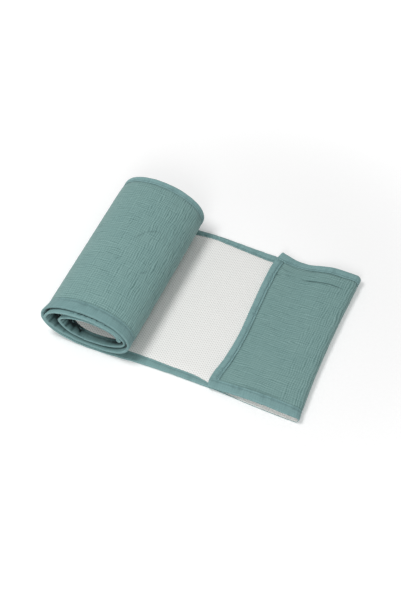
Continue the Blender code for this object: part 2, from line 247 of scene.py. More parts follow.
def hairpin_point(stage, v):
    """The tight turn from the third layer of the roll into its inner end."""
    end = ROLL_TURNS + 0.0 * v
    x, z = roll_point(end, v)
    nx, nz = roll_normal(end, v)
    angle = math.pi * (stage - HAIRPIN) / (TAIL - HAIRPIN)
    along, out = HAIRPIN_RADIUS * np.sin(angle), HAIRPIN_RADIUS * (np.cos(angle) - 1)
    return x + nx * out + nz * along, z + nz * out - nx * along


def tail_point(stage, v):
    """The inner end, lying against the inside of the third layer."""
    turns = ROLL_TURNS - (stage - TAIL)
    x, z = roll_point(turns, v)
    nx, nz = roll_normal(turns, v)
    return x - 2 * HAIRPIN_RADIUS * nx, z - 2 * HAIRPIN_RADIUS * nz


def strip_middle(stage, v):
    """The middle of the strip's thickness, as x and z."""
    stage, v = np.broadcast_arrays(np.asarray(stage, float), np.asarray(v, float))
    inside = [stage < FOLD, stage < FLAT, stage < ROLL, stage < HAIRPIN, stage < TAIL]
    points = [flap_point(stage, v), fold_point(stage, v), flat_point(stage, v),
              roll_point(stage - ROLL, v), hairpin_point(stage, v)]
    last = tail_point(stage, v)
    return (np.select(inside, [point[0] for point in points], last[0]),
            np.select(inside, [point[1] for point in points], last[1]))


def strip_point(stage, across, level):
    """Points of the strip: across from its front edge, level towards the muslin."""
    stage, across, level = np.broadcast_arrays(stage, across, level)
    v = across / WIDTH
    step = 0.004
    x0, z0 = strip_middle(np.clip(stage - step, 0.0, INNER_END), v)
    x1, z1 = strip_middle(np.clip(stage + step, 0.0, INNER_END), v)
    length = np.hypot(x1 - x0, z1 - z0)
    x, z = strip_middle(stage, v)
    stray = between((smooth(EDGES, 2, stage), smooth(EDGES, 3, stage)), v)
    return np.stack([x - level * (z1 - z0) / length,
                     across - WIDTH / 2 + stray * MM + SHIFT_Y,
                     z + level * (x1 - x0) / length], -1)


STAGES = np.linspace(0.0, INNER_END, 4000)
MIDDLE = strip_middle(STAGES, 0.5)
LENGTHS = np.concatenate([[0.0], np.cumsum(np.hypot(*np.diff(MIDDLE, axis=1)))])
TOTAL = LENGTHS[-1]


def stage_at(along):
    """The stage that lies a length along the strip's middle."""
    return np.interp(along, LENGTHS, STAGES)


def along_at(stage):
    """The length along the strip's middle at a stage."""
    return np.interp(stage, STAGES, LENGTHS)


# ---- Relief: crinkles, creases, swelling beside the seams --------------------

# How much room the muslin has to stand proud, 1 where its face is free: stage and room
MUSLIN_ROOM = ((0.00, 1.0), (1.70, 1.0), (2.00, 0.0), (3.00, 0.0), (3.10, 1.0), (3.85, 1.0),
               (4.00, 0.3), (6.05, 0.3))

# Strength of the muslin's two families of crinkles: those that run along the
# strip and those that run across it
CRINKLE_MIX = (
    # along, mm   along the strip   across the strip
    (0.0,         0.72,             0.20),
    (90.0,        0.72,             0.25),
    (125.0,       0.50,             0.80),
    (160.0,       0.30,             1.00),
    (520.0,       0.60,             0.60),
    (600.0,       0.72,             0.25),
    (690.0,       0.70,             0.60),
    (740.0,       0.45,             1.00),
    (840.0,       0.35,             1.20),
    (1480.0,      0.60,             0.50),
)

# The main creases of the muslin: soft troughs, each through its points, which are given
# as along, across, depth and half width in mm
CREASES = {
    "flap, long": (
        (52.0, 265.0, 0.0, 1.2), (61.0, 260.0, 0.6, 1.3), (71.0, 260.9, 1.5, 1.5),
        (84.0, 262.0, 1.2, 1.3), (104.0, 263.6, 1.1, 1.4), (120.0, 262.6, 1.0, 1.3),
        (131.0, 260.0, 0.0, 1.2),
    ),
    "flap, upper": (
        (22.0, 263.5, 0.0, 1.2), (33.0, 261.5, 0.6, 1.4), (48.0, 262.5, 0.0, 1.2),
    ),
    "flap, upper left": (
        (17.0, 272.0, 0.5, 1.3), (29.0, 270.0, 0.5, 1.4), (42.0, 271.5, 0.0, 1.2),
    ),
    "flap, beside binding": (
        (50.0, 281.5, 0.0, 1.2), (66.0, 283.0, 0.8, 1.2), (74.0, 284.5, 0.4, 1.2),
        (120.0, 284.0, 0.3, 1.2),
    ),
    "flap, at its end": (
        (16.0, 255.0, 0.9, 1.5), (24.0, 258.0, 0.0, 1.5),
    ),
    "flap, lower": (
        (20.0, 151.0, 0.0, 1.5), (34.0, 148.0, 0.3, 1.6), (52.0, 144.0, 0.3, 1.6),
        (66.0, 144.0, 0.0, 1.5),
    ),
    "roll, slanting": (
        (698.0, 168.0, 0.0, 1.4), (706.0, 178.0, 0.7, 1.5), (712.0, 189.0, 0.3, 1.5),
        (721.0, 196.0, 0.7, 1.5), (734.0, 204.0, 0.0, 1.5),
    ),
    "roll, low": (
        (733.0, 110.0, 0.0, 1.4), (741.0, 118.0, 0.7, 1.5), (746.0, 126.0, 0.0, 1.4),
    ),
    "roll, high": (
        (686.0, 116.0, 0.0, 1.4), (693.0, 121.0, 0.6, 1.5), (700.0, 128.0, 0.0, 1.4),
    ),
    "flap, front": (
        (42.0, 22.5, 0.0, 2.0), (60.0, 20.5, 0.5, 2.0), (92.0, 21.0, 0.4, 2.0),
        (118.0, 22.0, 0.0, 2.0),
    ),
}

NOISE_GRID = 512                  # bumps each way before soft noise repeats


def soft_noise(x, y, seed):
    """Smooth noise between -1 and 1, one bump in each square of its grid."""
    grid = np.random.default_rng(seed).uniform(-1.0, 1.0, (NOISE_GRID, NOISE_GRID))
    i, j = np.floor(x).astype(int), np.floor(y).astype(int)
    a, b = x - i, y - j
    a, b = a * a * (3 - 2 * a), b * b * (3 - 2 * b)
    i0, i1, j0, j1 = (k % NOISE_GRID for k in (i, i + 1, j, j + 1))
    low = grid[i0, j0] * (1 - a) + grid[i1, j0] * a
    high = grid[i0, j1] * (1 - a) + grid[i1, j1] * a
    return low * (1 - b) + high * b


def crease_depth(along, across):
    """How deep the placed creases are, in millimetres; both places in millimetres."""
    depth = np.zeros_like(along)
    for points in CREASES.values():
        for (x0, y0, depth0, half0), (x1, y1, depth1, half1) in zip(points, points[1:]):
            dx, dy = x1 - x0, y1 - y0
            t = unit(((along - x0) * dx + (across - y0) * dy) / (dx ** 2 + dy ** 2))
            off = np.hypot(along - x0 - t * dx, across - y0 - t * dy)
            here = (depth0 + (depth1 - depth0) * t) * np.exp(
                -(off / (half0 + (half1 - half0) * t)) ** 2)
            depth = np.maximum(depth, here)
    return depth


def groove(noise):
    """Narrow grooves where a noise passes through zero, about an even level."""
    return 0.4 - (1 - np.abs(noise)) ** 6


def crinkles(along, across, ripple):
    """The muslin's crinkled relief in millimetres; ripple is the spacing of its lines.
    Each family of crinkles has fine bumps and grooves, longer along its lines."""
    sway = (5.0 * soft_noise(along / 45, across / 38, 11)
            + 2.0 * soft_noise(along / 17, across / 15, 12))
    patch = 0.85 + 0.5 * soft_noise(along / 26, across / 22, 13)
    swayed = across + sway
    lengthways = (0.26 * soft_noise(along / 17, swayed / (0.55 * ripple), 14)
                  + 0.34 * groove(soft_noise(along / 30, swayed / (1.1 * ripple), 15)))
    crossways = (0.34 * soft_noise((along + sway) / (0.62 * ripple), across / 19, 16)
                 + 0.42 * groove(soft_noise((along + 1.3 * sway) / (1.25 * ripple),
                                            across / 34, 17)))
    broad = soft_noise(along / 31, across / 28, 18)
    return (straight(CRINKLE_MIX, 1, along) * patch * lengthways
            + straight(CRINKLE_MIX, 2, along) * patch * crossways + 0.08 * broad)


END_LEG = 14 * MM                 # how far the end bindings reach onto the cloth
UNDER_BINDING = HALF - 1.2 * MM   # the panels' level at a seam
BELOW_BINDING = 1.1 * MM          # how much deeper they lie past it, under the tape
SEAM_STEP = 1.5 * MM
SWELL_WIDTH = 5 * MM


def legs(side, stage):
    """The front and back binding's reach onto the muslin (side 1) or the mesh (side -1)."""
    front, back = (6, 7) if side > 0 else (4, 5)
    return smooth(EDGES, front, stage) * MM, smooth(EDGES, back, stage) * MM


def from_seams(side, stage, across, along):
    """Distance from the nearest binding's edge, negative under it."""
    front, back = legs(side, stage)
    return np.minimum(np.minimum(across - front, WIDTH - across - back),
                      np.minimum(along, TOTAL - along) - END_LEG)


def panel_level(from_seam, proud):
    """The panel's face: pressed at the seam, swelling up beside it, and deeper below
    the binding."""
    rise = np.where(from_seam > 0, 1 - np.exp(-from_seam / SWELL_WIDTH), 0.0)
    below = unit(-from_seam / SEAM_STEP) * BELOW_BINDING
    return UNDER_BINDING - below + rise * (HALF - UNDER_BINDING + proud)


# ---- Meshes ------------------------------------------------------------------

COARSE = 3                        # coarse rows hold one column in three


def even_rows(bands, end):
    """Lengths of a sheet's rows and whether each is fine, from bands of even spacing that are
    each given their start, their spacing in mm and whether they are fine."""
    rows = []
    stops = [band[0] for band in bands[1:]] + [end]
    for (start, spacing, fine), stop in zip(bands, stops):
        count = max(1, round((stop - start) / (spacing * MM)))
        rows += [(start + (stop - start) * k / count, fine) for k in range(count)]
    return rows + [(end, fine)]


def sheet_faces(rows, columns):
    """Faces of a sheet whose coarse rows hold fewer columns."""
    ids, start = [], 0
    for _, fine in rows:
        step = 1 if fine else COARSE
        ids.append((start, step))
        start += (columns - 1) // step + 1
    faces = []
    for (a, step_a), (b, step_b) in zip(ids, ids[1:]):
        step = max(step_a, step_b)
        per_a, per_b = step // step_a, step // step_b
        for cell in range((columns - 1) // step):
            near = range(a + cell * per_a, a + (cell + 1) * per_a + 1)
            far = range(b + (cell + 1) * per_b, b + cell * per_b - 1, -1)
            faces.append((*near, *far))
    return faces


def sheet_places(rows, columns):
    """The place along and across of each vertex of a sheet, and whether it is in a
    fine row."""
    held = [(length, fine, columns if fine else columns[::COARSE]) for length, fine in rows]
    return (np.concatenate([np.full(len(here), length) for length, _, here in held]),
            np.concatenate([here for _, _, here in held]),
            np.concatenate([np.full(len(here), fine) for _, fine, here in held]))


def new_piece(name, vertices, faces, material, strip_uv, **shades):
    """A smooth mesh piece with its place on the strip as UVs, in metres, and further values,
    such as its painted shade, as attributes, one value for each vertex."""
    mesh = bpy.data.meshes.new(name)
    mesh.from_pydata(vertices.tolist(), [], faces)
    mesh.update()
    corners = np.empty(len(mesh.loops), dtype=np.int32)
    mesh.loops.foreach_get("vertex_index", corners)
    layer = mesh.uv_layers.new(name="strip")
    layer.uv.foreach_set("vector", strip_uv[corners].astype(np.float32).ravel())
    for key, values in shades.items():
        shade = mesh.attributes.new(key, "FLOAT", "POINT")
        shade.data.foreach_set("value", np.broadcast_to(values, len(vertices)).astype(np.float32))
    mesh.shade_smooth()
    mesh.materials.append(material)
    piece = bpy.data.objects.new(name, mesh)
    bpy.context.scene.collection.objects.link(piece)
    return piece


# ---- Binding -----------------------------------------------------------------

RIM = 2.5 * MM                    # half thickness of the bound edge
TAPE_UNDER = HALF - 1.15 * MM     # the tape's inside
SEAM_IN = 3.8 * MM                # from the tape's edge to its stitches

# The tape's face from its edge inwards: distance from that edge, and how far it
# lies below its fullest level
TAPE_FACE = (
    # in, mm   below, mm
    (0.0,      1.10),
    (0.2,      0.60),
    (0.9,      0.35),
    (1.9,      0.38),
    (2.8,      0.60),
    (3.4,      1.00),
    (3.8,      1.15),
    (4.2,      1.00),
    (4.9,      0.60),
    (6.0,      0.30),
    (7.4,      0.12),
    (9.0,      0.05),
)
GROOVE_ROWS = ((5, 0.5), (6, 0.85), (7, 0.5))    # rows in the seam's groove, and the painted shade they get
RIM_STEPS = 10
OUTER = 2 * len(TAPE_FACE) + RIM_STEPS + 1       # a ring's points on the tape's outside


def tape_profile(muslin_leg, mesh_leg):
    """The rings of a folded tape: their points' distances from the strip's edge and levels."""
    inwards, below = np.array(TAPE_FACE).T
    ones = np.ones_like(muslin_leg)
    faces = []
    for leg, side in ((muslin_leg, 1), (mesh_leg, -1)):
        fullness = np.clip((leg - 3.0 * MM) / (9.0 * MM), 0.3, 1.0)
        face = np.minimum(leg - RIM, inwards[-1] * MM)
        faces.append((leg - face * (inwards / inwards[-1]), side * (HALF - below * MM * fullness)))
    (top_places, top_levels), (low_places, low_levels) = faces
    turn = math.pi * (0.5 - np.arange(RIM_STEPS + 1) / RIM_STEPS)
    fold = 1.5 * MM * ones
    return (np.hstack([top_places, RIM * (1 - np.cos(turn)) * ones, low_places[:, ::-1],
                       mesh_leg - 0.3 * MM, fold, fold, muslin_leg - 0.3 * MM]),
            np.hstack([top_levels, (HALF - 0.1 * MM) * np.sin(turn) * ones, low_levels[:, ::-1],
                       TAPE_UNDER * np.array([-1, -1, 1, 1]) * ones]))


def ring_faces(rows, count):
    """Faces of a closed tube of rings, with its two ends closed."""
    faces = []
    for k in range(rows - 1):
        a, b = k * count, (k + 1) * count
        for j in range(count):
            turn = (j + 1) % count
            faces.append((a + j, b + j, b + turn, a + turn))
    faces.append(tuple(range(count)))
    faces.append(tuple(range(rows * count - 1, (rows - 1) * count - 1, -1)))
    return faces


# How far the binding is pinched by its stitches on each face, where the next turn
# of the roll leaves a dark gap beside it
PINCH = (
    # stage   muslin face   mesh face, mm
    (0.00,    0.0,          0.0),
    (2.85,    0.0,          0.0),
    (3.10,    0.0,          0.3),
    (3.84,    0.0,          0.3),
    (3.98,    1.1,          0.3),
    (6.05,    1.1,          0.3),
)

# Creases of the front binding's mesh face, where the tight left bends crumple it
CRUMPLES = (
    # stage   depth, width, slant over the band, mm
    (4.060,   0.9,   1.6,   3.0),
    (4.105,   1.4,   2.8,   6.0),
    (4.160,   1.7,   3.0,   3.0),
    (4.200,   1.3,   1.6,  -3.0),
    (4.245,   1.7,   3.4,  -5.0),
    (4.300,   1.2,   2.4,  -3.0),
    (5.040,   0.8,   1.8,   5.0),
    (5.085,   1.5,   2.6,   7.0),
    (5.130,   1.7,   3.0,   4.0),
    (5.175,   1.3,   1.6,   0.0),
    (5.225,   1.7,   3.4,  -5.0),
    (5.280,   1.3,   2.0,  -6.0),
    (5.340,   1.5,   3.0,  -4.0),
    (5.420,   0.9,   2.4,   3.0),
)

# Where the tight left bends ruffle the front binding's mesh face, and where the next turn
# inside lies close to it: stage and share, which also sets how much painted shade the face gets
# there
RUFFLED = ((3.98, 0.0), (4.08, 1.0), (4.30, 1.0), (4.38, 0.0), (4.98, 0.0), (5.08, 1.0),
           (5.38, 1.0), (5.50, 0.0))
CLOSE_TURN = ((3.90, 0.0), (3.95, 1.0), (4.05, 1.0), (4.10, 0.0), (4.46, 0.0), (4.56, 1.0),
              (4.94, 1.0), (5.00, 0.0))


def crumple_depth(along, place):
    """Depth in millimetres of the front binding's crumples."""
    depth = np.zeros(place.shape)
    reach = unit((place / MM - 0.8) / 4.0)
    for stage, deep, width, slant in CRUMPLES:
        off = (along - along_at(stage)) / MM - slant * (place / MM - 8.0) / 12.0
        depth = np.maximum(depth, deep * np.exp(-(off / width) ** 2))
    return depth * reach


# Where the lower layer's front edge is pressed thin below the flap: stage and mm lost there
THIN_EDGE = ((0.00, 0.0), (1.15, 0.0), (1.45, 3.0), (1.70, 4.3), (2.26, 4.3), (2.42, 1.0),
             (2.50, 0.0), (6.05, 0.0))
THIN_WIDTH = 16 * MM


def pressed(stage, across, level):
    """The level after the front edge is pressed thin, always towards the muslin."""
    lost = straight(THIN_EDGE, 1, stage) * MM
    near = unit(1 - across / THIN_WIDTH)
    return level + lost * near ** 1.5 * unit((HALF - level) / THICKNESS)


def puckered(along, places, levels, leg, pucker, seed):
    """The tape's levels with its small wrinkles, across the band and strongest at its
    stitches, and the wrinkles in millimetres."""
    u = along / MM + 0 * places
    sway = soft_noise(u / 9, places / MM / 5, seed + 3)
    wave = soft_noise(u / 3.6 + 0.4 * sway, places / MM / 14, seed)
    broad = soft_noise(u / 11, places / MM / 9, seed + 1)
    from_edge = np.clip((leg - places) / MM, 0.0, 30.0)
    seam = np.exp(-((from_edge - 4.0) / 3.2) ** 2)
    wrinkle = ((0.08 + 0.20 * seam) * wave + 0.05 * broad) * pucker
    wrinkle[:, OUTER:] = 0.0
    fade = np.ones(places.shape[1])
    fade[0] = fade[OUTER - 1] = 0.0
    return levels + np.sign(levels) * wrinkle * MM * fade, wrinkle


CORNER_ROWS = (0.0, 0.25, 0.7, 1.3, 2.0, 2.9, 4.0)    # from the strip's end, mm
CORNER_RADIUS = 3.0 * MM
CORNER_CLOSE = 2.6 * MM           # over which a long tape's end closes
FINE_BENDS = (4.02, 4.34, 5.0, 5.46)                  # the crumpled bends' first and last stages
FINE_STEP = 0.7                   # mm between a long tape's rows in them


def long_tape_rows(at_back, spacing):
    """Lengths of a long tape's rows: close in its corners and crumpled bends."""
    total = TOTAL / MM
    ends, steps = [CORNER_ROWS[-1], total - CORNER_ROWS[-1]], [spacing]
    if not at_back:
        ends[1:1] = [along_at(stage) / MM for stage in FINE_BENDS]
        steps = [spacing, FINE_STEP, spacing, FINE_STEP, spacing]
    rows = list(CORNER_ROWS[:-1])
    for start, end, step in zip(ends, ends[1:], steps):
        rows += list(np.linspace(start, end, max(1, round((end - start) / step)), endpoint=False))
    return np.array(rows + [total - row for row in reversed(CORNER_ROWS)]) * MM


def round_corners(along, places, levels):
    """A long tape with its two ends rounded off and closed."""
    from_end = np.minimum(along, TOTAL - along)
    off = np.maximum(CORNER_RADIUS - from_end, 0.0)
    tuck = CORNER_RADIUS - np.sqrt(CORNER_RADIUS ** 2 - off ** 2)
    closing = 1 - np.minimum(from_end / CORNER_CLOSE, 1.0)
    return (np.maximum(places, 0.0) + tuck * unit(1 - places / (12 * MM)),
            levels * np.sqrt(np.maximum(1 - closing ** 2, 0.05)))


def front_painted_shade(stage, places, levels):
    """Painted shade on the front tape where turns of the roll meet: a little over the outer turn's
    front, a painted shadow line beside the inner end's edge, and deeper in the ruffled bends and the
    close gaps.
    """
    place = places / MM
    painted_outer_turn_shade = np.interp(stage, (3.1, 3.3, 3.8, 3.95), (0.0, 0.16, 0.16, 0.0))
    painted_tail_shadow = np.interp(stage, (5.76, 5.83), (0.0, 0.9))
    on_mesh = (0.9 * straight(RUFFLED, 1, stage) * unit((place - 5.0) / 7.0)
               + 0.85 * straight(CLOSE_TURN, 1, stage) * unit((place - 2.8) / 1.4))
    on_muslin = painted_tail_shadow * unit(2.6 - place)
    return painted_outer_turn_shade + on_mesh * (levels < 0) + on_muslin * (levels > 0)


TAPE_LINES = 0.35                 # strength of the tape's crinkles


def add_tape(name, stage, across, levels, flipped, uv, valley, material):
    """One tape as a closed tube, from arrays with a row for each ring."""
    points = strip_point(stage, across, levels).reshape(-1, 3)
    faces = ring_faces(*levels.shape)
    if flipped:
        faces = [face[::-1] for face in faces]
    # the painted shade is kept on the mesh as an attribute
    return new_piece(name, points, faces, material,
                     np.stack(np.broadcast_arrays(*uv), -1).reshape(-1, 2),
                     valley=unit(valley).ravel(), lengthways=TAPE_LINES, crossways=TAPE_LINES)


def add_long_tape(name, at_back, spacing, pucker, material, seed):
    """The folded tape along one long edge of the strip, with its corners rounded."""
    along = long_tape_rows(at_back, spacing)[:, None]
    stage, u = stage_at(along), along / MM
    muslin_leg = legs(1, stage)[at_back] + 0.35 * MM * soft_noise(u / 13, u * 0, seed + 7)
    mesh_leg = legs(-1, stage)[at_back] + 0.35 * MM * soft_noise(u / 11, u * 0, seed + 8)
    places, levels = tape_profile(muslin_leg, mesh_leg)
    outside = np.arange(places.shape[1]) < OUTER
    signs = np.sign(levels)
    leg = np.where(levels > 0, muslin_leg, mesh_leg)
    levels, wrinkle = puckered(along, places, levels, leg, pucker, seed)
    pinch = np.where(levels > 0, straight(PINCH, 1, stage), straight(PINCH, 2, stage))
    levels = levels - signs * pinch * MM * np.clip(places / (2.0 * MM), 0.35, 1.0) * outside
    crumple = np.zeros(places.shape)
    if not at_back:
        on_mesh = (levels < 0) * outside
        crumple = crumple_depth(along, places) * on_mesh
        ruffled = straight(RUFFLED, 1, stage) * on_mesh
        levels = levels + (crumple - 0.9 * ruffled * unit(places / (4 * MM))) * MM
    # the rim wavers a little
    on_rim = slice(len(TAPE_FACE) + 2, len(TAPE_FACE) + RIM_STEPS - 1)
    places[:, on_rim] += 0.3 * MM * (soft_noise(u / 7, u * 0, seed + 5) * pucker)
    # on the mesh face the crumples may stand out further
    highest = HALF - 0.05 * MM + 0.35 * MM * straight(MUSLIN_ROOM, 1, stage)
    levels = np.clip(levels, -(HALF + (0.3 if at_back else 1.3) * MM), highest)
    places, levels = round_corners(along, places, levels)
    across = WIDTH - places if at_back else places
    if not at_back:
        across = across * np.where(levels < 0, 1 - 0.19 * straight(THIN_EDGE, 1, stage), 1.0)
        levels = pressed(stage, across, levels)
    around = np.cumsum(np.hypot(*(np.diff(part, axis=1, prepend=part[:, :1])
                                  for part in (places, levels))), axis=1)
    # painted shade: the wrinkles' troughs and the crumples, the seam's groove rows and both edges of
    # the face, where they meet the panels
    valley = np.clip(-wrinkle * 1.2, 0.0, 0.5) + np.clip(crumple * 0.9, 0.0, 0.9)
    for row, shade in GROOVE_ROWS:
        valley[:, (row, OUTER - 1 - row)] += 0.4 * shade
    if not at_back:
        valley = valley + front_painted_shade(stage, places, levels)
    valley[:, (0, OUTER - 1)] = 0.4
    # the muslin face of the inner turns is hidden but for its rim, and gets painted shade past the
    # rim
    hidden = np.interp(stage, (3.84, 3.98), (0.0, 0.8)) * (levels > 0)
    valley = valley + hidden * unit((places / MM - 2.2) / 3.0)
    return add_tape(name, stage, across, levels, at_back, (along, around), valley, material)


TUCKED = 2.2 * MM                 # how far an end tape reaches under the long tapes


def add_end_tape(name, at_start, spacing, pucker, material, seed):
    """The folded tape across one short end, its own ends tucked under the long tapes."""
    front, back = legs(1, 0.0 if at_start else INNER_END)
    start, end = (front - TUCKED) / MM, (WIDTH - back + TUCKED) / MM
    across = np.linspace(start, end, round((end - start) / spacing) + 1)[:, None] * MM
    leg = END_LEG + 0.4 * MM * soft_noise(across / MM / 12, across * 0, seed + 7)
    places, levels = tape_profile(leg, leg)
    levels, wrinkle = puckered(across, places, levels, leg, pucker, seed)
    levels = np.clip(levels, -HALF, HALF + (0.3 * MM if at_start else 0.0))
    # thinner where it goes under the long tapes
    tucked = np.minimum(across - start * MM, end * MM - across)
    clear = unit((tucked - 1.6 * MM) / (1.4 * MM))
    lid = (TAPE_UNDER - 0.15 * MM) / HALF
    levels = levels * (lid + (1 - lid) * clear * clear * (3 - 2 * clear))
    # painted shade: the wrinkles' troughs, the seam's groove rows and both edges of the face
    valley = unit(-wrinkle * 1.6)
    for row, shade in GROOVE_ROWS:
        valley[:, (row, OUTER - 1 - row)] = shade
    valley[:, (0, OUTER - 1)] = 0.7
    stage = stage_at(places if at_start else TOTAL - places)
    return add_tape(name, stage, across, levels, at_start, (across, places), valley, material)


# ---- Stitches ----------------------------------------------------------------

THREAD = 0.30 * MM                # half thickness of the thread
STITCH_LEVEL = HALF - 1.1 * MM
STITCH_SHARE = 0.40               # half of a stitch, as a share of the pitch
# Rings of a stitch: place along it and thickness, both as shares
STITCH_RINGS = ((-1.0, 0.35), (-0.75, 0.85), (0.0, 1.0), (0.75, 0.85), (1.0, 0.35))
STITCH_SIDES = 6


def seam_centres(edge, side, pitch):
    """Where the stitches are along a binding's seam on one face of the strip."""
    if edge in ("front", "back"):
        centres = np.arange(6.0, TOTAL / MM - 6.0, pitch) * MM
        # none where the tape is too narrow, or gathered in the tight bends
        reach = legs(side, stage_at(centres))[edge == "back"]
        return centres[(reach > 8 * MM) & (reach < 22 * MM)]
    front, back = legs(1, 0.0 if edge == "flap_end" else INNER_END)
    return np.arange(front / MM + 1.5, (WIDTH - back) / MM - 1.5, pitch) * MM


def seam_place(edge, side, along, off):
    """The stage and the place across, from places along a seam and off its middle."""
    if edge in ("front", "back"):
        stage = stage_at(along)
        leg = legs(side, stage)[edge == "back"] - SEAM_IN + off
        return stage, WIDTH - leg if edge == "back" else leg
    inward = END_LEG - SEAM_IN + off + 0 * along
    return stage_at(inward if edge == "flap_end" else TOTAL - inward), along


def add_stitches(name, edge, pitch, material):
    """The seam of one binding on both faces of the strip, each stitch a thread capsule."""
    share, thick = np.array(STITCH_RINGS).T[:, :, None]
    angle = np.arange(STITCH_SIDES) * 2 * math.pi / STITCH_SIDES
    lift = THREAD * (0.9 * thick * np.sin(angle) - 0.5 * abs(share) ** 3)
    half = STITCH_SHARE * pitch * MM
    points = []
    for side in (1, -1):
        centres = seam_centres(edge, side, pitch)[:, None, None]
        stage, across = seam_place(edge, side, centres + share * half,
                                   THREAD * thick * np.cos(angle))
        points.append(strip_point(stage, across, side * (STITCH_LEVEL + lift)).reshape(-1, 3))
    points = np.concatenate(points)
    # each face turned over from its own first corner
    stitch = [face[:1] + face[:0:-1] for face in ring_faces(len(STITCH_RINGS), STITCH_SIDES)]
    faces = [tuple(first + index for index in face)
             for first in range(0, len(points), lift.size) for face in stitch]
    return new_piece(name, points, faces, material, points[:, :2])


# ---- Materials ---------------------------------------------------------------

WAVE_REPEAT = 0.314               # a wave texture's repeat at scale 1


def linear(hex_colour):
    """An sRGB hex value as linear red, green, blue and alpha."""
    values = [int(hex_colour[k:k + 2], 16) / 255 for k in (1, 3, 5)]
    return tuple(v / 12.92 if v <= 0.04045 else ((v + 0.055) / 1.055) ** 2.4
                 for v in values) + (1.0,)


def set_inputs(node, inputs):
    """Set a node's inputs, in their order or by name; one that gets a socket is linked to it."""
    for key, value in inputs.items() if isinstance(inputs, dict) else enumerate(inputs):
        if isinstance(value, bpy.types.NodeSocket):
            node.id_data.links.new(value, node.inputs[key])
        else:
            node.inputs[key].default_value = value


def add_node(tree, kind, inputs=(), output=0, **settings):
    """Add a shader node with its settings and links, and give back one of its outputs."""
    node = tree.nodes.new("ShaderNode" + kind)
    for key, value in settings.items():
        setattr(node, key, value)
    set_inputs(node, inputs)
    return node.outputs[output]


def new_material(name, roughness, sheen):
    """A matt material, its shader, and the way to add its nodes."""
    material = bpy.data.materials.new(name)
    material.use_nodes = True
    shader = material.node_tree.nodes["Principled BSDF"]
    set_inputs(shader, {"Roughness": roughness, "IOR": 1.5, "Sheen Weight": sheen,
                        "Sheen Roughness": 0.5, "Specular IOR Level": 0.25})
    return material, shader, partial(add_node, material.node_tree)


def crinkle_lines(add, place, direction, ripple, strength):
    """Wavering parallel grooves, with their strength from an attribute of the mesh; they give both
    bumps and painted shade.
    """
    # one line for each ripple; they waver over 35 mm along their length
    scale = (WAVE_REPEAT / (ripple * MM), 1 / (35 * MM))
    scale = (*(scale if direction == "X" else scale[::-1]), 1.0)
    mapped = add("Mapping", {"Vector": place, "Scale": scale})
    wave = add("TexWave", {"Vector": mapped, "Scale": 1.0, "Distortion": 6.5, "Detail": 3.0,
                           "Detail Scale": 1.2}, "Fac", bands_direction=direction)
    # the lines fade in and out over patches about 10 mm by 30 mm
    patches = add("TexNoise", {"Vector": mapped, "Scale": 1.1, "Detail": 1.0}, noise_dimensions="2D")
    faded = add("MapRange", (patches, 0.34, 0.66, 0.45, 1.2))
    share = add("Attribute", (), "Fac", attribute_name=strength)
    amount = add("Math", (faded, share), operation="MULTIPLY")
    groove = add("Math", (1.0, wave), operation="SUBTRACT")
    narrow = add("Math", (groove, 1.6), operation="POWER")
    # lines and ridges about one even painted shade, so that faded patches aren't paler
    centred = add("Math", (narrow, 0.38), operation="SUBTRACT")
    return add("Math", (centred, amount, 0.2), operation="MULTIPLY_ADD")


def gauze_material(name, colours, weave, ripple, painted_groove_shade):
    """Woven cotton gauze, matt and slightly fuzzy: crinkled in fine lines both ways, with painted
    shade in their grooves, broad changes of tone and a plain weave.  The weave and the ripple are in
    mm."""
    material, shader, add = new_material(name, 0.92, 0.12)
    tone, dark, pale = colours
    place = add("UVMap", uv_map="strip")
    # plain weave: two sets of bands, one for each thread
    bands = {"Vector": place, "Scale": WAVE_REPEAT / (weave * MM), "Distortion": 0.6}
    threads = [add("TexWave", bands, "Fac", bands_direction=way) for way in "XY"]
    cloth = add("Math", threads, operation="MULTIPLY")
    lines = [crinkle_lines(add, place, way, ripple, strength)
             for way, strength in (("Y", "lengthways"), ("X", "crossways"))]
    grooves = add("Math", lines, operation="ADD")
    # changes of tone at random, about 40 mm wide
    cloud = add("TexNoise", {"Vector": place, "Scale": 25.0, "Detail": 2.0}, noise_dimensions="2D")
    # painted shade: the troughs are darkened, and the deepest folds, where turns of the roll meet,
    # almost to black
    painted_shade_amount = add("Attribute", (), "Fac", attribute_name="valley")
    for share, colour in (
            (add("MapRange", (cloud, 0.35, 0.65, 0.28, 0.45)), pale),
            # painted shade in the crinkles' grooves
            (add("Math", (grooves, painted_groove_shade), operation="MULTIPLY", use_clamp=True), dark),
            (painted_shade_amount, linear("#2f4a4b")),
            (add("MapRange", (painted_shade_amount, 0.68, 1.0, 0.0, 0.8)), linear("#0f1a1b"))):
        tone = add("Mix", {0: share, 6: tone, 7: colour}, 2, data_type="RGBA")
    ridges = add("Math", (1.0, grooves), operation="SUBTRACT")
    height = add("Math", (cloth, 0.2, ridges), operation="MULTIPLY_ADD")
    bump = add("Bump", {"Strength": 0.45, "Distance": 0.5 * MM, "Height": height})
    set_inputs(shader, {"Base Color": tone, "Normal": bump})
    return material


HOLE_ALONG = 6.48 * MM            # two staggered columns of holes, 3.24 mm apart
HOLE_ACROSS = 4.4 * MM


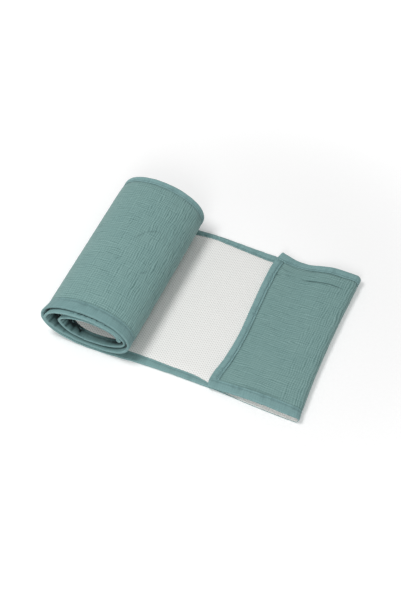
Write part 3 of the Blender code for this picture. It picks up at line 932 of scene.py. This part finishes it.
def spacer_mesh_material(name, colours):
    """Warp-knitted polyester spacer mesh: a white knitted face with columns of small oval holes
    set in a stagger and a shallow groove down each column, both bumped and in painted shade."""
    material, shader, add = new_material(name, 0.7, 0.05)
    face, hole, yarn = colours
    place = add("UVMap", uv_map="strip")
    grid = add("Mapping", {"Vector": place, "Scale": (1 / HOLE_ALONG, 1 / HOLE_ACROSS, 1.0)})
    nearest = []
    for shift in (0.5, 0.0):
        cell = add("VectorMath", (grid, (shift, shift, 0.0)), operation="ADD")
        part = add("VectorMath", (cell,), operation="FRACTION")
        centred = add("VectorMath", (part, (0.5, 0.5, 0.0)), operation="SUBTRACT")
        nearest.append(add("VectorMath", (centred,), "Value", operation="LENGTH"))
    distance = add("Math", nearest, operation="MINIMUM")
    away = add("MapRange", (distance, 0.08, 0.27), interpolation_type="SMOOTHSTEP")
    # the holes, and their painted shade, close where the mesh is pressed flat
    closed = add("Attribute", (), "Fac", attribute_name="pressed")
    knitted = add("Math", (away, closed), operation="MAXIMUM")
    # a groove runs down each column, in the holes' painted shade
    columns = add("TexWave", {"Vector": place, "Scale": 2 * WAVE_REPEAT / HOLE_ALONG,
                              "Phase Offset": -1.571}, "Fac", bands_direction="X")
    groove = add("MapRange", (columns, 0.75, 1.0, 0.0, 0.35))
    # yarn loops about 0.9 mm apart
    loops = add("TexWave", {"Vector": place, "Scale": WAVE_REPEAT / (0.9 * MM), "Distortion": 2.0,
                            "Detail": 1.0}, "Fac", bands_direction="Y")
    knit = add("Mix", {0: loops, 6: yarn, 7: face}, 2, data_type="RGBA")
    ribbed = add("Mix", {0: groove, 6: knit, 7: hole}, 2, data_type="RGBA")
    # painted shade in the holes
    tone = add("Mix", {0: knitted, 6: hole, 7: ribbed}, 2, data_type="RGBA")
    height = add("Math", (loops, 0.15, knitted), operation="MULTIPLY_ADD")
    bump = add("Bump", {"Strength": 0.12, "Distance": 0.5 * MM, "Height": height})
    set_inputs(shader, {"Base Color": tone, "Normal": bump})
    return material


def thread_material(name, colour):
    """Spun polyester sewing thread: two twisted plies, a little glossier than the cloth."""
    material, shader, add = new_material(name, 0.6, 0.1)
    where = add("TexCoord", (), "Object")
    # plies 0.5 mm apart
    twist = add("TexWave", {"Vector": where, "Scale": WAVE_REPEAT / (0.5 * MM)}, "Fac",
                bands_direction="DIAGONAL")
    tone = add("Mix", {0: twist, 6: linear("#55757a"), 7: colour}, 2, data_type="RGBA")
    set_inputs(shader, {"Base Color": tone})
    return material


def paper_material(name, colour, glow):
    """Translucent white paper lit from below, matt, with a faint grain and brighter away from
    the middle."""
    material, shader, add = new_material(name, 0.9, 0.0)
    where = add("TexCoord", (), "Object")
    away = add("VectorMath", (where,), "Value", operation="LENGTH")
    # even light below the bumper, 0.25 m each way, then brighter up to 1.2 m
    lit = add("MapRange", (away, 0.25, 1.2, glow, 1.0), interpolation_type="SMOOTHSTEP")
    # paper fibres about 3 mm long
    grain = add("TexNoise", {"Vector": where, "Scale": 300.0, "Detail": 2.0})
    tone = add("Mix", {0: grain, 6: linear("#e6e6e6"), 7: colour}, 2, data_type="RGBA")
    set_inputs(shader, {"Base Color": tone, "Emission Strength": lit,
                        "Emission Color": (1.0, 1.0, 1.0, 1.0)})
    return material


# ---- Properties, operators and panel -----------------------------------------

# What every colour of the cloth shares
COLOUR = {"subtype": "COLOR", "size": 4, "min": 0.0, "max": 1.0}


class ClothProperties(bpy.types.PropertyGroup):
    """Sizes and colours of the bumper's cloth."""
    muslin_colour: bpy.props.FloatVectorProperty(
        name="Muslin", description="Colour of the muslin", default=linear("#7fa19f"), **COLOUR)
    tape_colour: bpy.props.FloatVectorProperty(
        name="Tape", description="Colour of the binding", default=linear("#7ea2a2"), **COLOUR)
    mesh_colour: bpy.props.FloatVectorProperty(
        name="Mesh", description="Colour of the spacer mesh", default=linear("#f6f6f4"), **COLOUR)
    thread_colour: bpy.props.FloatVectorProperty(
        name="Thread", description="Colour of the thread", default=linear("#7d9fa2"), **COLOUR)
    ripple: bpy.props.FloatProperty(
        name="Ripple spacing", description="Distance between the muslin's fine ripples, in mm",
        default=3.7, min=2.0, max=10.0)
    crinkle: bpy.props.FloatProperty(
        name="Crinkle", description="How strongly the muslin is crinkled", default=1.0,
        min=0.0, max=2.0, subtype="FACTOR")
    pucker: bpy.props.FloatProperty(
        name="Pucker", description="How strongly the binding puckers at its seams", default=1.0,
        min=0.0, max=2.0, subtype="FACTOR")
    stitch_pitch: bpy.props.FloatProperty(
        name="Stitch pitch", description="Distance between the starts of two stitches, in mm",
        default=3.2, min=2.0, max=6.0)
    thread_spacing: bpy.props.FloatProperty(
        name="Thread spacing", description="Spacing of the gauze's threads, in mm, drawn coarse",
        default=1.0, min=0.4, max=2.0)


class StageProperties(bpy.types.PropertyGroup):
    """The floor, light and camera."""
    key_power: bpy.props.FloatProperty(
        name="Key light", description="Power of the large soft light from the upper left",
        default=21.0, min=0.0, unit="POWER")
    fill_power: bpy.props.FloatProperty(
        name="Fill light", description="Power of the soft light from the front",
        default=9.0, min=0.0, unit="POWER")
    sky: bpy.props.FloatProperty(
        name="Sky", description="Strength of the even white light", default=0.37, min=0.0)
    glow: bpy.props.FloatProperty(
        name="Floor glow", description="Light that comes through the paper floor",
        default=0.20, min=0.0)
    lens: bpy.props.FloatProperty(
        name="Lens", description="Focal length of the camera", default=103.6, unit="CAMERA")


PANEL_IN = 1.9 * MM               # the panels' edges, inside the strip's
MUSLIN_CELLS = 89                 # coarse cells across the muslin
MUSLIN_SINK = 1.9 * MM            # how deep the muslin may lie below the strip's face


class BUMPER_OT_muslin(bpy.types.Operator):
    """The crinkled muslin face, from the flap to the roll's inner end"""
    bl_idname = "bumper.muslin"
    bl_label = "Muslin panel"

    def execute(self, context):
        cloth = context.scene.bumper_cloth
        columns = np.linspace(PANEL_IN, WIDTH - PANEL_IN, COARSE * MUSLIN_CELLS + 1)
        # fine where the muslin shows
        rows = even_rows((
            (PANEL_IN, 1.75, True), (along_at(1.85), 7.0, False), (along_at(3.07), 1.75, True),
            (along_at(3.93), 5.0, False), (along_at(HAIRPIN), 1.2, False),
            (along_at(TAIL), 5.0, False)), TOTAL - PANEL_IN)
        along, across, _ = sheet_places(rows, columns)
        u, v = along / MM, across / MM
        stage = stage_at(along)
        off = from_seams(1, stage, across, along)
        # flatter towards the seams, where the stitches pull small folds across them
        clear = unit(off / (6 * MM))
        pull = soft_noise(u / 3.4, v / 30, 21) * np.exp(-np.maximum(off, 0.0) / (7 * MM))
        relief = (crinkles(u, v, cloth.ripple) * cloth.crinkle * (0.35 + 0.65 * clear)
                  + 0.35 * pull)
        creases = crease_depth(u, v)
        room = straight(MUSLIN_ROOM, 1, stage)
        level = panel_level(off, 0.25 * MM * room) + (
            (relief * room - creases) * MM * unit(off / SEAM_STEP))
        level = np.maximum(level, HALF - MUSLIN_SINK)
        points = strip_point(stage, across, pressed(stage, across, level))
        faces = [face[::-1] for face in sheet_faces(rows, len(columns))]
        # painted shade beside the seams, darker at the ends, and in the crinkles' troughs and the
        # creases
        at_end = np.minimum(along, TOTAL - along) - END_LEG < off + 0.1 * MM
        painted_edge_shade = np.where(at_end, 0.6, 0.25)
        painted_seam_shade = painted_edge_shade * np.exp(-(np.maximum(off, 0.0) / (1.6 * MM)) ** 2)
        painted_relief_shade = (np.clip(-relief * 0.22 - 0.03, 0.0, 0.25)
                       + np.clip(creases * 0.55, 0.0, 0.8)) * (off > 0)
        # the darker colour is the painted shade of the crinkles' grooves
        material = gauze_material(
            "crinkled double-gauze cotton",
            (tuple(cloth.muslin_colour), linear("#507270"), linear("#90b0ac")),
            cloth.thread_spacing, cloth.ripple, 0.72)
        piece = new_piece("muslin", points, faces, material, np.stack([along, across], -1),
                          valley=unit(painted_relief_shade + painted_seam_shade),
                          lengthways=straight(CRINKLE_MIX, 1, u),
                          crossways=straight(CRINKLE_MIX, 2, u))
        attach(piece, "root")
        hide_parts("muslin_panel")
        return {"FINISHED"}


class BUMPER_OT_mesh(bpy.types.Operator):
    """The white spacer mesh face, with its rows of holes"""
    bl_idname = "bumper.mesh"
    bl_label = "Spacer mesh panel"

    def execute(self, context):
        cloth = context.scene.bumper_cloth
        # columns and fine rows meet in the middle of every hole
        column = HOLE_ACROSS / 4
        columns = np.arange(2, round(WIDTH / column) - 1) * column
        columns = columns[:COARSE * ((len(columns) - 1) // COARSE) + 1]
        first = math.floor(along_at(2.36) / HOLE_ALONG) * HOLE_ALONG
        last = math.ceil(along_at(2.88) / HOLE_ALONG) * HOLE_ALONG
        # fine where the mesh shows
        rows = even_rows((
            (PANEL_IN, 6.0, False), (along_at(FOLD), 1.5, False), (along_at(FLAT), 6.0, False),
            (first, HOLE_ALONG / 6 / MM, True), (last, 4.5, False), (along_at(HAIRPIN), 1.2, False),
            (along_at(TAIL), 4.5, False)), TOTAL - PANEL_IN)
        along, across, fine = sheet_places(rows, columns)
        stage = stage_at(along)
        off = from_seams(-1, stage, across, along)
        u, v = along / HOLE_ALONG, across / HOLE_ACROSS
        hole = np.minimum(np.hypot(*((k + 0.5) % 1 - 0.5 for k in (u, v))),
                          np.hypot(*(k % 1 - 0.5 for k in (u, v))))
        dimple = unit(1 - hole / 0.30) * fine * 0.25
        uneven = soft_noise(along / MM / 24, across / MM / 21, 31) * 0.15
        level = panel_level(off, 0.0) + (uneven - dimple) * (off > 0) * MM
        thin = straight(THIN_EDGE, 1, stage)
        placed = across - 0.4 * MM * thin * (across < 2.5 * MM)
        points = strip_point(stage, placed, pressed(stage, placed, -level))
        flattened = unit(thin / 3.0) * unit((30 * MM - across) / (12 * MM))
        # the second colour is the painted shade of the holes and grooves
        material = spacer_mesh_material(
            "warp-knitted polyester spacer mesh",
            (tuple(cloth.mesh_colour), linear("#d0d0cd"), linear("#efefec")))
        piece = new_piece("spacer_mesh", points, sheet_faces(rows, len(columns)), material,
                          np.stack([along, across], -1), pressed=flattened)
        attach(piece, "root")
        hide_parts("mesh_panel")
        return {"FINISHED"}


class BUMPER_OT_bindings(bpy.types.Operator):
    """The folded tape over the strip's four edges"""
    bl_idname = "bumper.bindings"
    bl_label = "Bindings"

    def execute(self, context):
        cloth = context.scene.bumper_cloth
        # the darker colour is the painted shade of the crinkles' grooves
        tape = gauze_material(
            "folded cotton gauze tape",
            (tuple(cloth.tape_colour), linear("#4f7374"), linear("#8dafaf")),
            cloth.thread_spacing, cloth.ripple, 0.4)
        made = (
            (add_long_tape("tape_front", False, 1.7, cloth.pucker, tape, 40),
             "binding_front", (0.039, TOTAL)),
            (add_long_tape("tape_back", True, 1.7, cloth.pucker, tape, 60),
             "binding_back", (0.034, TOTAL)),
            (add_end_tape("tape_flap_end", True, 1.7, cloth.pucker, tape, 80),
             "binding_flap_end", (0.033, 0.27)),
            (add_end_tape("tape_inner_end", False, 3.0, cloth.pucker, tape, 90),
             "binding_inner_end", (0.033, 0.27)),
        )
        for piece, node, flat in made:
            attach(piece, "root")
            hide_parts(node)
        return {"FINISHED"}


class BUMPER_OT_stitches(bpy.types.Operator):
    """The lockstitch seams that hold the tape"""
    bl_idname = "bumper.stitches"
    bl_label = "Stitches"

    def execute(self, context):
        cloth = context.scene.bumper_cloth
        thread = thread_material("spun polyester thread", tuple(cloth.thread_colour))
        for edge in ("front", "back", "flap_end", "inner_end"):
            piece = add_stitches("stitches_" + edge, edge, cloth.stitch_pitch, thread)
            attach(piece, "root")
        return {"FINISHED"}


PAPER_REACH = 9.0                 # m each way, so that its edge is far off
PAPER_DROP = 0.3 * MM
CAMERA_TARGET = Vector((-0.00666, -0.00332, 0.02))
CAMERA_DISTANCE = 1.90875
CAMERA_ELEVATION, CAMERA_AZIMUTH = math.radians(51.6), math.radians(23.25)


class BUMPER_OT_stage(bpy.types.Operator):
    """The white floor, the soft light and the camera"""
    bl_idname = "bumper.stage"
    bl_label = "Stage"

    def execute(self, context):
        scene, stage = context.scene, context.scene.bumper_stage
        mesh = bpy.data.meshes.new("paper_sweep")
        mesh.from_pydata([(x * PAPER_REACH, y * PAPER_REACH, 0)
                          for x, y in ((-1, -1), (1, -1), (1, 1), (-1, 1))],
                         [], [(0, 1, 2, 3)])
        mesh.materials.append(paper_material("matt white paper", linear("#f4f4f4"), stage.glow))
        floor = bpy.data.objects.new("paper_sweep", mesh)
        floor.location.z = -PAPER_DROP
        scene.collection.objects.link(floor)

        world = bpy.data.worlds.new("white studio")
        world.use_nodes = True
        set_inputs(world.node_tree.nodes["Background"],
                   {"Color": (1.0, 1.0, 1.0, 1.0), "Strength": stage.sky})
        scene.world = world

        for name, place, size, power in (
                ("key light", (-0.70, -0.34, 1.86), 0.75, stage.key_power),
                ("fill light", (0.35, -1.60, 1.25), 0.8, stage.fill_power)):
            lamp = bpy.data.lights.new(name, "AREA")
            lamp.shape = "DISK"
            lamp.size = size
            lamp.energy = power
            light = bpy.data.objects.new(name, lamp)
            light.location = place
            light.rotation_euler = light.location.to_track_quat("Z", "Y").to_euler()
            scene.collection.objects.link(light)

        lens = bpy.data.cameras.new("camera")
        lens.sensor_fit = "HORIZONTAL"
        lens.sensor_width = 36.0
        lens.lens = stage.lens
        lens.dof.use_dof = False
        camera = bpy.data.objects.new("camera", lens)
        back = Vector((math.sin(CAMERA_AZIMUTH) * math.cos(CAMERA_ELEVATION),
                       -math.cos(CAMERA_AZIMUTH) * math.cos(CAMERA_ELEVATION),
                       math.sin(CAMERA_ELEVATION)))
        camera.location = CAMERA_TARGET + back * CAMERA_DISTANCE
        camera.rotation_euler = back.to_track_quat("Z", "Y").to_euler()
        scene.collection.objects.link(camera)
        scene.camera = camera
        scene.view_settings.view_transform = "Standard"
        return {"FINISHED"}


class BUMPER_PT_panel(bpy.types.Panel):
    """Steps that dress the bumper"""
    bl_label = "Crib bumper"
    bl_space_type = "VIEW_3D"
    bl_region_type = "UI"
    bl_category = "Bumper"

    def draw(self, context):
        layout = self.layout
        for group in (context.scene.bumper_cloth, context.scene.bumper_stage):
            for key in group.__annotations__:
                layout.prop(group, key)
        for operator in OPERATORS:
            layout.operator(operator.bl_idname)


OPERATORS = (BUMPER_OT_stage, BUMPER_OT_muslin, BUMPER_OT_mesh, BUMPER_OT_bindings,
             BUMPER_OT_stitches)
CLASSES = (ClothProperties, StageProperties) + OPERATORS + (BUMPER_PT_panel,)


def register():
    for cls in CLASSES:
        bpy.utils.register_class(cls)
    bpy.types.Scene.bumper_cloth = bpy.props.PointerProperty(type=ClothProperties)
    bpy.types.Scene.bumper_stage = bpy.props.PointerProperty(type=StageProperties)


def unregister():
    del bpy.types.Scene.bumper_stage
    del bpy.types.Scene.bumper_cloth
    for cls in reversed(CLASSES):
        bpy.utils.unregister_class(cls)


def main():
    register()
    bpy.ops.bumper.stage()
    bpy.ops.bumper.muslin()
    bpy.ops.bumper.mesh()
    bpy.ops.bumper.bindings()
    bpy.ops.bumper.stitches()


if __name__ == "__main__":
    main()
